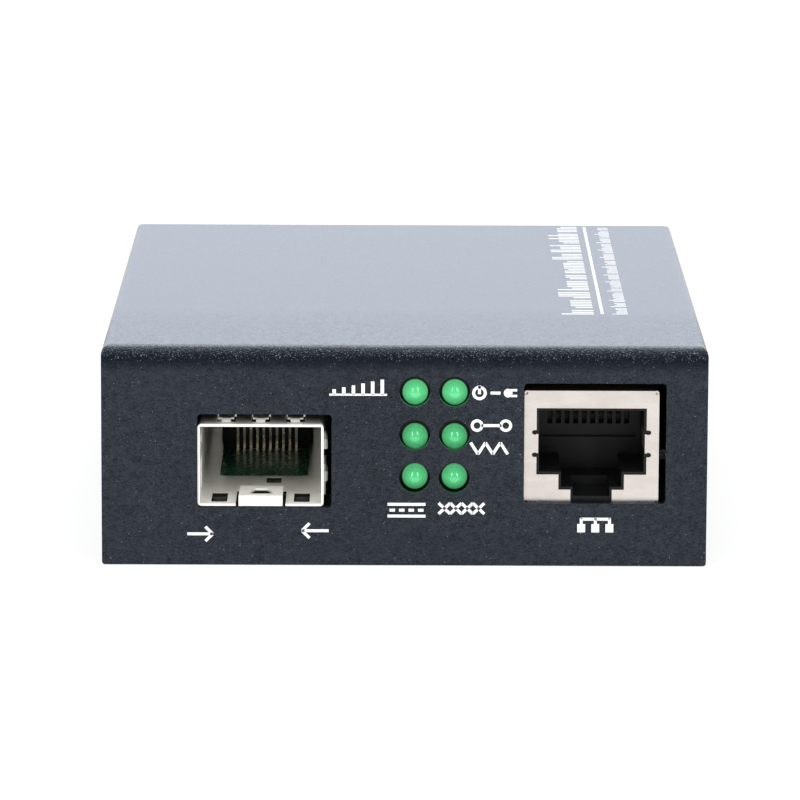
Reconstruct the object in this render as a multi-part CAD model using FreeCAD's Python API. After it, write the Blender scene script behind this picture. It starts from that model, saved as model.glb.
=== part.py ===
import FreeCAD, Part
import math
import os

# Fibre media converter: one SFP bay and one RJ45 socket in a folded steel case.
# Millimetres. X is the width, the front panel faces -Y, Z is up from the surface it stands on.

# Case
case_width = 71.0
case_depth = 94.0
case_height = 26.0
sheet = 1.0
front_bend = 1.8
side_bend = 1.0
edge_break = 0.4
corner_seam = 0.12

# Front panel openings, as x0, x1, z0, z1, corner radius
sfp_cutout = (-24.27, -8.53, 6.9, 18.0, 0.4)
rj45_cutout = (13.98, 30.64, 7.5, 21.8, 0.45)
led_hole_radius = 1.84
led_hole_columns = (1.2, 5.85)
led_hole_rows = (10.45, 15.6, 20.75)

# Side vents and case screws
vent_count = 7
vent_pitch = 5.4
vent_width = 1.8
vent_bottom = 13.6
vent_top = 20.4
case_screw_y = (-27.0, 27.0)
case_screw_z = 9.7
case_screw_radius = 1.5
case_screw_head = 2.75

# Base plate
flange_height = 13.0
plate_bend = 1.6
plate_gap = 0.1
collar_depth = 0.8

# Circuit board and its supports
board_top = 7.0
board_thickness = 1.6
board_half_width = 33.0
board_front = -40.0
board_rear = 45.4
board_screws_xy = ((-29.2, -34.0), (29.4, -20.0), (-29.2, 40.0), (29.4, 40.0))
standoff_radius = 2.7
spigot_radius = 2.1
thread_radius = 1.5
pin_end = 4.5

# SFP cage, folded from one strip of sheet
cage_x = -16.86
cage_half = 7.39
cage_bottom = 7.0
cage_top = 16.75
cage_front = -46.7
cage_rear = 2.0
cage_sheet = 0.28
cage_corner = 0.45
cage_pin_y = (-38.0, -26.0, -14.0, -2.0)
finger_columns = (-4.05, 0.0, 4.05)
floor_finger_columns = (-4.9, 4.8)
finger_tip = -45.3
floor_finger_tip = -45.8
finger_root = -40.2
finger_rise = 0.46
finger_sheet = 0.2
finger_lift = 0.25
finger_gap = 0.17
side_leaf_half = 1.85
side_leaf_z = 9.95
tongue_half = 2.58
tongue_gap = 0.35
tongue_end = -39.2
tongue_rise = 1.2
test_opening = (0.4, 2.2, -34.4, -31.2)

# SFP connector inside the cage
sfp_pitch = 0.8
sfp_count = 10
sfp_contact_width = 0.32
sfp_half = 5.6
sfp_front = -11.8
sfp_rear = -2.6
sfp_top = 13.4
card_slot_bottom = 10.3
card_slot_top = 11.7
card_slot_depth = 6.2

# RJ45 socket
jack_x = 21.95
jack_half = 7.9
jack_front = -45.95
jack_rear = -24.7
jack_top = 20.75
jack_sheet = 0.25
mouth_half = 6.45
mouth_top = 18.67
shoulder_z = 10.75
latch_half = 3.85
latch_z = 8.94
throat_half = 2.43
lip_z = 8.15
plastic_edge = 0.3
relief_radius = 0.27
corner_relief = 0.28
relief_rows = (13.1, 15.78)
cavity_back = -34.7
wire_pitch = 1.016
wire_count = 8
wire_width = 0.36
comb_slots = 10

# Indicators
led_columns = (1.25, 5.9)
led_rows = (10.22, 15.03, 20.3)
led_radius = 1.5
led_apex = -46.15
led_flange_radius = 1.95
led_length = 5.3
lead_size = 0.5
lead_spread = 1.27
lead_drop_y = (-38.6, -37.0, -35.4)
holder_front = -44.3
holder_rear = -34.2
holder_half = 4.95

# Power inlet for a 5.5 x 2.1 mm barrel plug
inlet_x = 20.0
inlet_z = 13.5
inlet_half = 4.5
inlet_bore = 3.2
inlet_pin = 1.05
inlet_depth = 9.8
inlet_length = 14.3
inlet_panel_hole = 4.2

# Parts on the board, as x, y of the middle
converter_xy = (3.0, 12.0)
converter_body = 14.0
transformer_xy = (18.4, -13.2)
crystal_xy = (1.5, -5.0)
memory_xy = (-17.0, 12.5)
regulator_xy = (6.5, 34.0)
inductor_xy = (-4.5, 34.5)
capacitors_xy = ((-14.0, 36.5), (-14.0, 27.5), (29.0, 18.0))
diode_xy = (28.5, 29.0)

front = -case_depth / 2
rear = case_depth / 2
half_width = case_width / 2
board_bottom = board_top - board_thickness


def point(plane, u, v, w):
    if plane == "xz":
        return FreeCAD.Vector(u, w, v)
    if plane == "yz":
        return FreeCAD.Vector(w, u, v)
    return FreeCAD.Vector(u, v, w)


# Closed outline with rounded corners, given as (u, v, radius), pushed from start to end.
def extruded(corners, plane, start, end):
    ends = []
    count = len(corners)
    for i in range(count):
        u, v, radius = corners[i]
        here = point(plane, u, v, start)
        before = point(plane, *corners[i - 1][:2], start) - here
        after = point(plane, *corners[(i + 1) % count][:2], start) - here
        before.normalize()
        after.normalize()
        if radius == 0:
            ends.append((here, here, here))
            continue
        half = before.getAngle(after) / 2
        bisector = before + after
        bisector.normalize()
        reach = radius / math.tan(half)
        middle = here + bisector * (radius / math.sin(half) - radius)
        ends.append((here + before * reach, middle, here + after * reach))
    edges = []
    for i in range(count):
        arc_start, middle, arc_end = ends[i]
        if arc_start != arc_end:
            edges.append(Part.Arc(arc_start, middle, arc_end).toShape())
        edges.append(Part.makeLine(arc_end, ends[(i + 1) % count][0]))
    face = Part.Face(Part.Wire(edges))
    return face.extrude(point(plane, 0, 0, end - start))


# Rectangle version of the outline above.
def rounded(plane, u0, u1, v0, v1, radius, start, end):
    corners = [(u0, v0, radius), (u1, v0, radius), (u1, v1, radius), (u0, v1, radius)]
    return extruded(corners, plane, start, end)


def block(x0, x1, y0, y1, z0, z1):
    return Part.makeBox(x1 - x0, y1 - y0, z1 - z0, FreeCAD.Vector(x0, y0, z0))


def standing_block(x, y, size_x, size_y, z0, z1):
    return block(x - size_x / 2, x + size_x / 2, y - size_y / 2, y + size_y / 2, z0, z1)


def rod_x(radius, y, z, x0, x1):
    return Part.makeCylinder(radius, x1 - x0, FreeCAD.Vector(x0, y, z), FreeCAD.Vector(1, 0, 0))


def rod_y(radius, x, z, y0, y1):
    return Part.makeCylinder(radius, y1 - y0, FreeCAD.Vector(x, y0, z), FreeCAD.Vector(0, 1, 0))


def rod_z(radius, x, y, z0, z1):
    return Part.makeCylinder(radius, z1 - z0, FreeCAD.Vector(x, y, z0))


# Flat-sided round for holes, pins and screws that repeat, so that each takes few facets.
def faceted(plane, radius, u, v, start, end, sides=10):
    angles = [math.pi * (2 * i + 1) / sides for i in range(sides)]
    corners = [(u + radius * math.cos(a), v + radius * math.sin(a), 0) for a in angles]
    return extruded(corners, plane, start, end)


# Stack of flat-sided rounds along an axis, from (distance, radius) pairs.
def faceted_stack(plane, profile, u, v, sides):
    angles = [math.pi * (2 * i + 1) / sides for i in range(sides)]
    rings = [[point(plane, u + r * math.cos(a), v + r * math.sin(a), at) for a in angles] for at, r in profile]
    outlines = [rings[0], rings[-1]]
    for low, high in zip(rings, rings[1:]):
        outlines += [[low[i - 1], low[i], high[i], high[i - 1]] for i in range(sides)]
    faces = [Part.Face(Part.makePolygon(outline + outline[:1])) for outline in outlines]
    solid = Part.Solid(Part.makeShell(faces))
    if solid.Volume < 0:
        solid.reverse()
    return solid


def moved(shape, x, y, z):
    copy = shape.copy()
    copy.translate(FreeCAD.Vector(x, y, z))
    return copy


def turned(shape, degrees):
    copy = shape.copy()
    copy.rotate(FreeCAD.Vector(0, 0, 0), FreeCAD.Vector(0, 0, 1), degrees)
    return copy


def fused(shapes):
    return shapes[0].multiFuse(shapes[1:]).removeSplitter()


# Flat strip folded along (y, z) points, with its middle line through them and mitred folds.
def folded_strip(points, width, thickness, x):
    path = [FreeCAD.Vector(y, z, 0) for y, z in points]
    normals = []
    for i in range(len(path) - 1):
        along = path[i + 1] - path[i]
        normals.append(FreeCAD.Vector(-along.y, along.x, 0).normalize())
    offsets = [normals[0]]
    for before, after in zip(normals, normals[1:]):
        offsets.append((before + after) / (1 + before.dot(after)))
    offsets.append(normals[-1])
    left = [p + o * (thickness / 2) for p, o in zip(path, offsets)]
    right = [p - o * (thickness / 2) for p, o in zip(path, offsets)]
    corners = [(p.x, p.y, 0) for p in left + right[::-1]]
    return extruded(corners, "yz", x - width / 2, x + width / 2)


# Straight-sided lead with a flat foot, from the origin out along -Y and down to z = -drop.
def gull_lead(out, drop, foot, width, thickness):
    corners = [
        (0, -thickness, 0),
        (0, 0, 0),
        (-out, 0, 0),
        (-out - 0.3, -drop + thickness, 0),
        (-out - foot, -drop + thickness, 0),
        (-out - foot, -drop, 0),
        (-out - 0.3 + thickness, -drop, 0),
        (-out + thickness, -thickness, 0),
    ]
    return extruded(corners, "yz", -width / 2, width / 2)


# Cross recess of a screw head, pointing down from z = 0.
def cross_recess(reach, depth):
    blades = []
    for degrees in (0, 90):
        corners = [(-reach, 0, 0), (reach, 0, 0), (0.35, -depth, 0), (-0.35, -depth, 0)]
        blades.append(turned(extruded(corners, "xz", -0.3, 0.3), degrees))
    return fused(blades)


# --- case ---


# Solid with rounded long edges at the top, where the sheet is bent down on all four sides.
def case_form(inset, lower, low_radius):
    x = half_width - inset
    y = rear - inset
    top = case_height - inset
    across = [(-y, lower, 0), (y, lower, 0), (y, top, front_bend - inset), (-y, top, front_bend - inset)]
    bend = side_bend - inset
    along = [(-x, lower, low_radius), (x, lower, low_radius), (x, top, bend), (-x, top, bend)]
    return extruded(across, "yz", -x, x).common(extruded(along, "xz", -y, y))


def panel_openings():
    tools = []
    for x0, x1, z0, z1, radius in (sfp_cutout, rj45_cutout):
        tools.append(rounded("xz", x0, x1, z0, z1, radius, front - 1, front + sheet + 1))
    for x in led_hole_columns:
        for z in led_hole_rows:
            tools.append(faceted("xz", led_hole_radius, x, z, front - 1, front + sheet + 1, 20))
    tools.append(faceted("xz", inlet_panel_hole, inlet_x, inlet_z, rear - sheet - 1, rear + 1, 24))
    return tools


# Upright slots with rounded ends.
def side_vents():
    tools = []
    radius = vent_width / 2
    arc = [math.radians(45 * i) for i in range(5)]
    for i in range(vent_count):
        y = (i - (vent_count - 1) / 2) * vent_pitch
        over = [(y + radius * math.cos(a), vent_top - radius + radius * math.sin(a), 0) for a in arc]
        under = [(y - radius * math.cos(a), vent_bottom + radius - radius * math.sin(a), 0) for a in arc]
        for x in (-half_width, half_width):
            tools.append(extruded(over + under, "yz", x - 2, x + 2))
    return tools


# The side walls butt against the front and rear ones, which run the full width.
def corner_seams():
    tools = []
    for x in (-half_width, half_width):
        for y in (front + sheet, rear - sheet - corner_seam):
            tools.append(block(x - 0.8, x + 0.8, y, y + corner_seam, -1, case_height - front_bend - 0.3))
    return tools


def countersinks():
    tools = []
    for side in (-1, 1):
        for y in case_screw_y:
            ends = ((side * half_width, case_screw_head), (side * (half_width - sheet), case_screw_radius))
            tools.append(faceted_stack("yz", ends, y, case_screw_z, 18))
    return tools


def upper_shell():
    shell = case_form(0, 0, edge_break).cut(case_form(sheet, -1, 0))
    return shell.cut(panel_openings() + side_vents() + corner_seams() + countersinks())


def base_plate():
    x = half_width - sheet
    y = rear - sheet - plate_gap
    corner = 3.0
    outside = [(-x, 0, plate_bend), (x, 0, plate_bend), (x, flange_height, 0), (-x, flange_height, 0)]
    inner = plate_bend - sheet
    inside = [(-x + sheet, sheet, inner), (x - sheet, sheet, inner), (x - sheet, 40, 0), (-x + sheet, 40, 0)]
    side = [
        (-y, -1, 0),
        (y, -1, 0),
        (y, flange_height - corner, 1),
        (y - corner, flange_height, 1),
        (-y + corner, flange_height, 1),
        (-y, flange_height - corner, 1),
    ]
    plate = extruded(outside, "xz", -y, y).cut(extruded(inside, "xz", -y - 1, y + 1))
    plate = plate.common(extruded(side, "yz", -x, x))
    collars = []
    holes = []
    for sign in (-1, 1):
        wall = sorted((sign * (x - sheet), sign * (x - sheet - collar_depth)))
        whole = sorted((sign * (x + 1), sign * (x - sheet - collar_depth - 1)))
        for screw_y in case_screw_y:
            collars.append(faceted("yz", case_screw_radius + 0.8, screw_y, case_screw_z, *wall, 8))
            holes.append(faceted("yz", case_screw_radius, screw_y, case_screw_z, *whole, 8))
    for screw_x, screw_y in board_screws_xy:
        holes.append(faceted("xy", spigot_radius, screw_x, screw_y, -1, sheet + 1))
    return fused([plate] + collars).cut(holes)


def shell_screws():
    screws = []
    for side in (-1, 1):
        cross = cross_recess(1.5, 1.3)
        cross.rotate(FreeCAD.Vector(0, 0, 0), FreeCAD.Vector(0, 1, 0), side * 90)
        outer = side * half_width
        neck = outer - side * sheet
        for y in case_screw_y:
            ends = ((outer, case_screw_head), (neck, case_screw_radius))
            head = faceted_stack("yz", ends, y, case_screw_z, 18)
            reach = sorted((neck, outer - side * 4.8))
            shank = faceted("yz", case_screw_radius, y, case_screw_z, *reach, 8)
            screws.append(fused([head, shank]).cut(moved(cross, outer, y, case_screw_z)))
    return screws


# --- circuit board ---


# Hole through the board that a soldered lead fills.
def lead_hole(x, y, size_x, size_y):
    return standing_block(x, y, size_x, size_y, board_bottom - 1, board_top + 1)


def lead_holes():
    tools = []
    for x in led_columns:
        for y in lead_drop_y:
            for side in (-1, 1):
                tools.append(lead_hole(x + side * lead_spread, y, lead_size, lead_size))
    for i in range(wire_count):
        tools.append(lead_hole(*wire_tail(i), wire_width, 0.28))
    for side in (-1, 1):
        for y in cage_pin_y:
            tools.append(lead_hole(cage_x + side * (cage_half - cage_sheet / 2), y, cage_sheet, 0.8))
        tools.append(lead_hole(jack_x + side * (jack_half - jack_sheet / 2), shield_pin_y(), jack_sheet, 1.6))
        tools.append(lead_hole(crystal_xy[0] + side * 2.44, crystal_xy[1], 0.45, 0.45))
        tools.append(faceted("xy", 1.6, jack_x + side * 5.7, peg_y(), board_bottom - 1, board_top + 1))
    sizes = ((2.0, 0.4), (2.0, 0.3), (0.3, 2.0))
    for (x, y), size in zip(inlet_terminals(), sizes):
        tools.append(lead_hole(x, y, *size))
    return tools


# Slot below the cage's test opening.
def board_slot():
    x0, x1, y0, y1 = test_opening
    return block(cage_x + x0, cage_x + x1, y0, y1, board_bottom - 1, board_top + 1)


def circuit_board():
    half = board_half_width
    clip = 0.8
    outline = []
    for x, y, turn in ((-half, board_front, 1), (half, board_front, -1), (half, board_rear, 1), (-half, board_rear, -1)):
        beside = (x - math.copysign(clip, x), y, 0)
        along = (x, y - math.copysign(clip, y), 0)
        outline += [along, beside] if turn > 0 else [beside, along]
    board = extruded(outline, "xy", board_bottom, board_top)
    holes = [faceted("xy", thread_radius + 0.1, x, y, board_bottom - 1, board_top + 1) for x, y in board_screws_xy]
    return board.cut(holes + lead_holes() + [board_slot()])


# Hexagonal pillars, each pressed into the base plate by a spigot and threaded for its screw.
def board_standoffs():
    parts = []
    for x, y in board_screws_xy:
        angles = [math.radians(60 * i) for i in range(6)]
        hexagon = [(x + standoff_radius * math.cos(a), y + standoff_radius * math.sin(a), 0) for a in angles]
        pillar = extruded(hexagon, "xy", sheet, board_bottom)
        body = fused([pillar, faceted("xy", spigot_radius, x, y, 0.1, sheet)])
        parts.append(body.cut(faceted("xy", thread_radius, x, y, 0, board_bottom + 1)))
    return parts


def board_screws():
    screws = []
    for x, y in board_screws_xy:
        head = faceted_stack("xy", ((0, 2.75), (1.3, 2.75), (1.9, 2.1)), 0, 0, 12)
        screw = fused([head, faceted("xy", thread_radius, 0, 0, -5.6, 0)])
        screw = screw.cut(moved(cross_recess(1.6, 1.2), 0, 0, 1.9))
        screws.append(moved(screw, x, y, board_top))
    return screws


# --- SFP cage ---


# Spring finger lanced out of a cage wall: a narrow stem steps straight up from the wall, bends over, and carries
# a wide back that slopes down to its free end, just clear of the wall.
def spring_finger(tip, half, stem_half, rise):
    z = finger_sheet / 2
    y = tip + finger_sheet / 2
    bend = 0.1
    path = [(y, z), (y, z + rise - bend), (y + bend, z + rise), (tip + 1.9, z + rise), (finger_root, z + finger_lift)]
    bow = folded_strip(path, 2 * half, finger_sheet, 0)
    shoulder = tip + 0.42
    back = block(-half, half, shoulder, finger_root, -1, 2)
    stem = block(-stem_half, stem_half, tip - 1, shoulder, -1, 2)
    return bow.common(fused([back, stem]))


def finger_window(tip, half):
    edge = half + finger_gap
    return block(-edge, edge, tip + finger_sheet + 0.02, finger_root - 0.15, -1, finger_sheet + 0.01)


# Fingers round the mouth, as tip, half width, stem, rise, turn about Y and the place on the wall.
def cage_fingers():
    placed = []
    top = cage_top - finger_sheet
    for x in finger_columns:
        placed.append((finger_tip, 0.93, 0.53, finger_rise, 0, cage_x + x, top))
    for x in floor_finger_columns:
        placed.append((floor_finger_tip, 0.76, 0.45, finger_rise, 180, cage_x + x, cage_bottom + finger_sheet))
    for side, degrees in ((1, 90), (-1, -90)):
        x = cage_x + side * (cage_half - finger_sheet)
        placed.append((finger_tip, side_leaf_half, side_leaf_half, 0.22, degrees, x, side_leaf_z))
        placed.append((finger_tip, 0.6, 0.6, finger_rise, degrees, x, side_leaf_z + 0.35))
        placed.append((finger_tip, 0.58, 0.58, finger_rise, degrees, x, side_leaf_z + 4.2))
    fingers = []
    windows = []
    for tip, half, stem, rise, degrees, x, z in placed:
        for shape, group in ((spring_finger(tip, half, stem, rise), fingers), (finger_window(tip, half), windows)):
            shape.rotate(FreeCAD.Vector(0, 0, 0), FreeCAD.Vector(0, 1, 0), degrees)
            group.append(moved(shape, x, 0, z))
    return fingers, windows


# Latch tongue in the floor: its front edge ramps up, and its opening holds the module's catch.
def cage_tongue():
    low = cage_bottom
    high = cage_bottom + tongue_rise
    corners = [
        (cage_front, low, 0),
        (cage_front + cage_sheet, low, 0),
        (cage_front + cage_sheet + 0.1, high - cage_sheet, 0),
        (tongue_end - 1.6, high - cage_sheet, 0),
        (tongue_end, low, 0),
        (tongue_end, low + cage_sheet, 0),
        (tongue_end - 1.5, high, 0),
        (cage_front + 0.3, high, 0),
        (cage_front, high - 0.13, 0),
    ]
    tongue = extruded(corners, "yz", cage_x - tongue_half, cage_x + tongue_half)
    catch = [
        (cage_x - 1.5, cage_front + 1.5, 0),
        (cage_x + 1.5, cage_front + 1.5, 0),
        (cage_x + 0.7, cage_front + 4.6, 0),
        (cage_x - 0.7, cage_front + 4.6, 0),
    ]
    return tongue.cut(extruded(catch, "xy", low - 1, high + 1))


def cage_floor_openings():
    slot = tongue_half + tongue_gap
    above = cage_bottom + cage_sheet + 0.6
    x0, x1, y0, y1 = test_opening
    return [
        block(cage_x - slot, cage_x + slot, cage_front - 1, tongue_end, cage_bottom - 1, above),
        rounded("xy", cage_x - 5.3, cage_x + 5.3, -30.2, 0.6, 0.5, cage_bottom - 1, above),
        block(cage_x + x0, cage_x + x1, y0, y1, cage_bottom - 1, above),
    ]


# Flat pin of a folded part, tapered at its end below the board.
def board_pin(y, half, x0, x1):
    top = board_top + 1
    corners = [(y - half, top, 0), (y - half, pin_end + 0.5, 0), (y - half / 2, pin_end, 0)]
    corners += [(y + half / 2, pin_end, 0), (y + half, pin_end + 0.5, 0), (y + half, top, 0)]
    return extruded(corners, "yz", x0, x1)


def sfp_cage():
    x0 = cage_x - cage_half
    x1 = cage_x + cage_half
    tube = rounded("xz", x0, x1, cage_bottom, cage_top, cage_corner, cage_front, cage_rear)
    bore = block(x0 + cage_sheet, x1 - cage_sheet, cage_front - 1, cage_rear - cage_sheet,
                 cage_bottom + cage_sheet, cage_top - cage_sheet)
    fingers, windows = cage_fingers()
    body = tube.cut(bore).cut(cage_floor_openings() + windows)
    pins = []
    for y in cage_pin_y:
        for x in (x0, x1 - cage_sheet):
            pins.append(board_pin(y, 0.4, x, x + cage_sheet))
    return fused([body, cage_tongue()] + fingers + pins)


# --- SFP connector ---


def sfp_column(i):
    return cage_x + (i - (sfp_count - 1) / 2) * sfp_pitch


# Contact of the lower row: foot in front, riser up the face, beam under the card slot.
def sfp_lower_contacts():
    z = board_top + 0.1
    path = [(sfp_front - 2.4, z), (sfp_front + 0.15, z), (sfp_front + 0.15, card_slot_bottom - 0.5),
            (sfp_front + card_slot_depth, card_slot_bottom - 0.5)]
    return [folded_strip(path, sfp_contact_width, 0.2, sfp_column(i)) for i in range(sfp_count)]


# Contact of the upper row: beam over the card slot, down the back, foot behind.
def sfp_upper_contacts():
    z = board_top + 0.1
    beam = card_slot_top + 0.5
    back = sfp_rear + 0.1
    path = [(sfp_front + 1.2, beam), (back, beam), (back, z), (back + 1.8, z)]
    return [folded_strip(path, sfp_contact_width, 0.2, sfp_column(i)) for i in range(sfp_count)]


def sfp_connector_housing():
    outline = [
        (sfp_front, board_top, 0),
        (sfp_rear, board_top, 0),
        (sfp_rear, sfp_top, 0.4),
        (sfp_front + 1.6, sfp_top, 0),
        (sfp_front, sfp_top - 1.0, 0),
    ]
    body = extruded(outline, "yz", cage_x - sfp_half + 0.5, cage_x + sfp_half - 0.5)
    ears = standing_block(cage_x, (sfp_front + sfp_rear) / 2, 2 * sfp_half, 5.2, cage_bottom + 0.4, sfp_top - 1.5)
    back = sfp_front + card_slot_depth
    slot = block(cage_x - 4.7, cage_x + 4.7, sfp_front - 1, back, card_slot_bottom, card_slot_top)
    chases = [slot]
    for i in range(sfp_count):
        x0 = sfp_column(i) - sfp_contact_width / 2
        x1 = sfp_column(i) + sfp_contact_width / 2
        chases.append(block(x0, x1, sfp_front - 1, sfp_front + 0.3, board_top - 1, card_slot_bottom + 0.1))
        chases.append(block(x0, x1, sfp_front - 1, back, card_slot_bottom - 0.65, card_slot_bottom + 0.1))
        chases.append(block(x0, x1, sfp_front + 1.1, sfp_rear + 1, card_slot_top - 0.1, card_slot_top + 0.65))
        chases.append(block(x0, x1, sfp_rear - 0.1, sfp_rear + 1, board_top - 1, card_slot_top + 0.5))
    return fused([body, ears]).cut(chases)


# --- RJ45 socket ---


def shield_pin_y():
    return jack_front + 13.0


def peg_y():
    return jack_front + 9.0


def wire_tail(i):
    x = jack_x + (i - (wire_count - 1) / 2) * wire_pitch
    return x, jack_rear - (1.9 if i % 2 else 4.4)


# Stepped mouth for the plug and its latch, pushed from the front into the socket.
def mouth(edge, depth):
    main = block(jack_x - mouth_half + edge, jack_x + mouth_half - edge, jack_front - 1, jack_front + depth,
                 shoulder_z + edge, mouth_top - edge)
    latch = block(jack_x - latch_half + edge, jack_x + latch_half - edge, jack_front - 1, jack_front + depth,
                  latch_z + edge, shoulder_z + 1)
    return [main, latch]


# Earthing tab, folded back into the mouth from the edge of the shield's face.
def ground_tab(side):
    x = sorted((jack_x + side * (mouth_half - 0.2), jack_x + side * (mouth_half + 0.05)))
    return block(x[0], x[1], jack_front, jack_front + 5.6, relief_rows[0] + 0.2, relief_rows[1] - 0.2)


def rj45_shield():
    x0 = jack_x - jack_half
    x1 = jack_x + jack_half
    outer = rounded("xz", x0, x1, board_top - 5, jack_top, 0.35, jack_front, jack_rear)
    inner = rounded("xz", x0 + jack_sheet, x1 - jack_sheet, board_top - 6, jack_top - jack_sheet, 0.1,
                    jack_front + jack_sheet, jack_rear - jack_sheet)
    cuts = [inner, block(x0 - 1, x1 + 1, jack_front - 1, jack_rear + 1, board_top - 6, board_top)]
    cuts += mouth(0, jack_sheet + 0.1)
    cuts.append(block(jack_x - throat_half, jack_x + throat_half, jack_front - 1, jack_front + jack_sheet,
                      board_top - 1, latch_z + 1))
    extra = []
    for side in (-1, 1):
        extra.append(ground_tab(side))
        edge = x0 if side < 0 else x1 - jack_sheet
        extra.append(board_pin(shield_pin_y(), 0.8, edge, edge + jack_sheet))
        for z in relief_rows:
            x = jack_x + side * (mouth_half + 0.28)
            cuts.append(faceted("xz", relief_radius, x, z, jack_front - 1, jack_front + jack_sheet))
            cuts.append(block(min(x, jack_x + side * 6), max(x, jack_x + side * 6), jack_front - 1,
                              jack_front + jack_sheet, z - relief_radius, z + relief_radius))
        for z in (board_top + 0.4, jack_top - 0.2):
            cuts.append(faceted("xz", corner_relief, jack_x + side * (jack_half - 0.18), z, jack_front - 1,
                                jack_front + jack_sheet, 8))
    return fused([outer.cut(cuts)] + extra)


# Recesses of the housing: mouth, latch throat, earthing tabs, contact channels and the insert's seat.
def housing_recesses():
    cuts = mouth(plastic_edge, cavity_back - jack_front)
    throat = throat_half - 0.26
    cuts.append(block(jack_x - throat, jack_x + throat, jack_front - 1, jack_front + 7, lip_z, latch_z + 1))
    for side in (-1, 1):
        x = sorted((jack_x + side * (mouth_half - 0.5), jack_x + side * (mouth_half + 0.1)))
        cuts.append(block(x[0], x[1], jack_front - 1, jack_front + 5.9, relief_rows[0] + 0.1, relief_rows[1] - 0.1))
    for i in range(wire_count):
        x = wire_tail(i)[0]
        cuts.append(block(x - 0.28, x + 0.28, jack_front + 2.4, cavity_back + 1, mouth_top - 1, 19.25))
    cuts.append(block(jack_x - 5.7, jack_x + 5.7, cavity_back, jack_rear, board_top - 1, 19.25))
    return cuts


def rj45_housing():
    side = jack_half - jack_sheet
    top = jack_top - jack_sheet
    section = [(jack_x - side, board_top, 0), (jack_x + side, board_top, 0), (jack_x + side, top, 0.15),
               (jack_x - side, top, 0.15)]
    body = extruded(section, "xz", jack_front + jack_sheet, jack_rear - jack_sheet)
    pegs = [faceted("xy", 1.6, jack_x + sign * 5.7, peg_y(), pin_end, board_top) for sign in (-1, 1)]
    return fused([body] + pegs).cut(housing_recesses())


# Contact wire: pin, up the back of the insert, forward under the roof, then back down into the comb.
def rj45_contacts():
    wires = []
    for i in range(wire_count):
        x, tail = wire_tail(i)
        path = [(tail, pin_end), (tail, 18.85), (jack_front + 3.5, 18.85), (jack_front + 3.2, 18.55),
                (jack_front + 3.4, 18.15), (cavity_back + 1.3, 15.75)]
        wires.append(folded_strip(path, wire_width, 0.28, x))
    return wires


# Insert that carries the contacts, with the comb that keeps their free ends apart.
def rj45_contact_insert():
    body = block(jack_x - 5.7, jack_x + 5.7, cavity_back, jack_rear - jack_sheet, board_top, 19.25)
    cuts = []
    for i in range(comb_slots):
        x = jack_x + (i - (comb_slots - 1) / 2) * wire_pitch
        cuts.append(block(x - 0.3, x + 0.3, cavity_back - 1, cavity_back + 1.7, 14.7, 18.5))
    cuts.append(block(jack_x - 5.7, jack_x + 5.7, cavity_back - 1, cavity_back + 0.6, 13.1, 13.65))
    return body.cut(cuts).cut(rj45_contacts())


# --- indicators ---


# Lens with a domed end, on a flange behind the spacer.
def led_lens(x, z):
    back = led_apex + led_length
    dome = [(led_radius * (1 - math.cos(a)), led_radius * math.sin(a)) for a in map(math.radians, (14, 36, 60, 90))]
    profile = [(led_apex + depth, radius) for depth, radius in dome] + [(back - 1, led_radius)]
    body = faceted_stack("xz", profile, x, z, 12)
    return fused([body, faceted("xz", led_flange_radius, x, z, back - 1, back, 12)])


def led_leads():
    leads = []
    back = led_apex + led_length
    for x in led_columns:
        for z, drop in zip(led_rows, lead_drop_y):
            for side in (-1, 1):
                path = [(back, z), (drop, z), (drop, pin_end)]
                leads.append(folded_strip(path, lead_size, lead_size, x + side * lead_spread))
    return leads


# Moulded spacer: a front wall bored for the six lenses, on two cheeks that stand on the board.
def led_holder():
    middle = sum(led_columns) / 2
    back = led_apex + led_length
    top = led_rows[-1] + 2.6
    side = [
        (holder_front, board_top + 0.4, 0),
        (board_front, board_top + 0.4, 0),
        (board_front, board_top, 0),
        (holder_rear, board_top, 0),
        (holder_rear, board_top + 3, 0.8),
        (back + 1.2, top, 1.5),
        (holder_front, top, 0.5),
    ]
    body = extruded(side, "yz", middle - holder_half, middle + holder_half)
    cheek = holder_half - 0.65
    cuts = [block(middle - cheek, middle + cheek, back - 1, holder_rear + 1, board_top - 1, top + 1)]
    for x in led_columns:
        for z in led_rows:
            cuts.append(faceted("xz", led_radius, x, z, holder_front - 1, back, 12))
    return body.cut(cuts)


# --- power inlet ---


def inlet_terminals():
    face = rear - sheet
    return ((inlet_x, face - 13.7), (inlet_x, face - 7.6), (inlet_x + inlet_half - 0.55, face - 10.6))


def dc_jack_housing():
    face = rear - sheet
    back = face - inlet_length
    plate = block(inlet_x - inlet_half, inlet_x + inlet_half, face - 3.4, face, board_top, 18.0)
    barrel = faceted("xz", inlet_half - 0.4, inlet_x, inlet_z, back, face, 24)
    base = block(inlet_x - inlet_half + 0.4, inlet_x + inlet_half - 0.4, back, face, board_top, inlet_z)
    cuts = [
        rod_y(inlet_bore, inlet_x, inlet_z, face - inlet_depth, face + 1),
        faceted("xz", inlet_pin, inlet_x, inlet_z, back - 1, face, 18),
        Part.makeCone(inlet_bore, inlet_bore + 0.4, 0.4, FreeCAD.Vector(inlet_x, face - 0.4, inlet_z),
                      FreeCAD.Vector(0, 1, 0)),
        block(inlet_x - 1.1, inlet_x + 1.1, back - 1, back + 0.9, board_top - 1, inlet_z),
        block(inlet_x - 1.0, inlet_x + 1.0, face - 8.1, face - 1.2, board_top - 1, inlet_z - 2.6),
    ]
    return fused([plate, barrel, base]).cut(cuts).cut(dc_jack_switch_contact())


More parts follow.
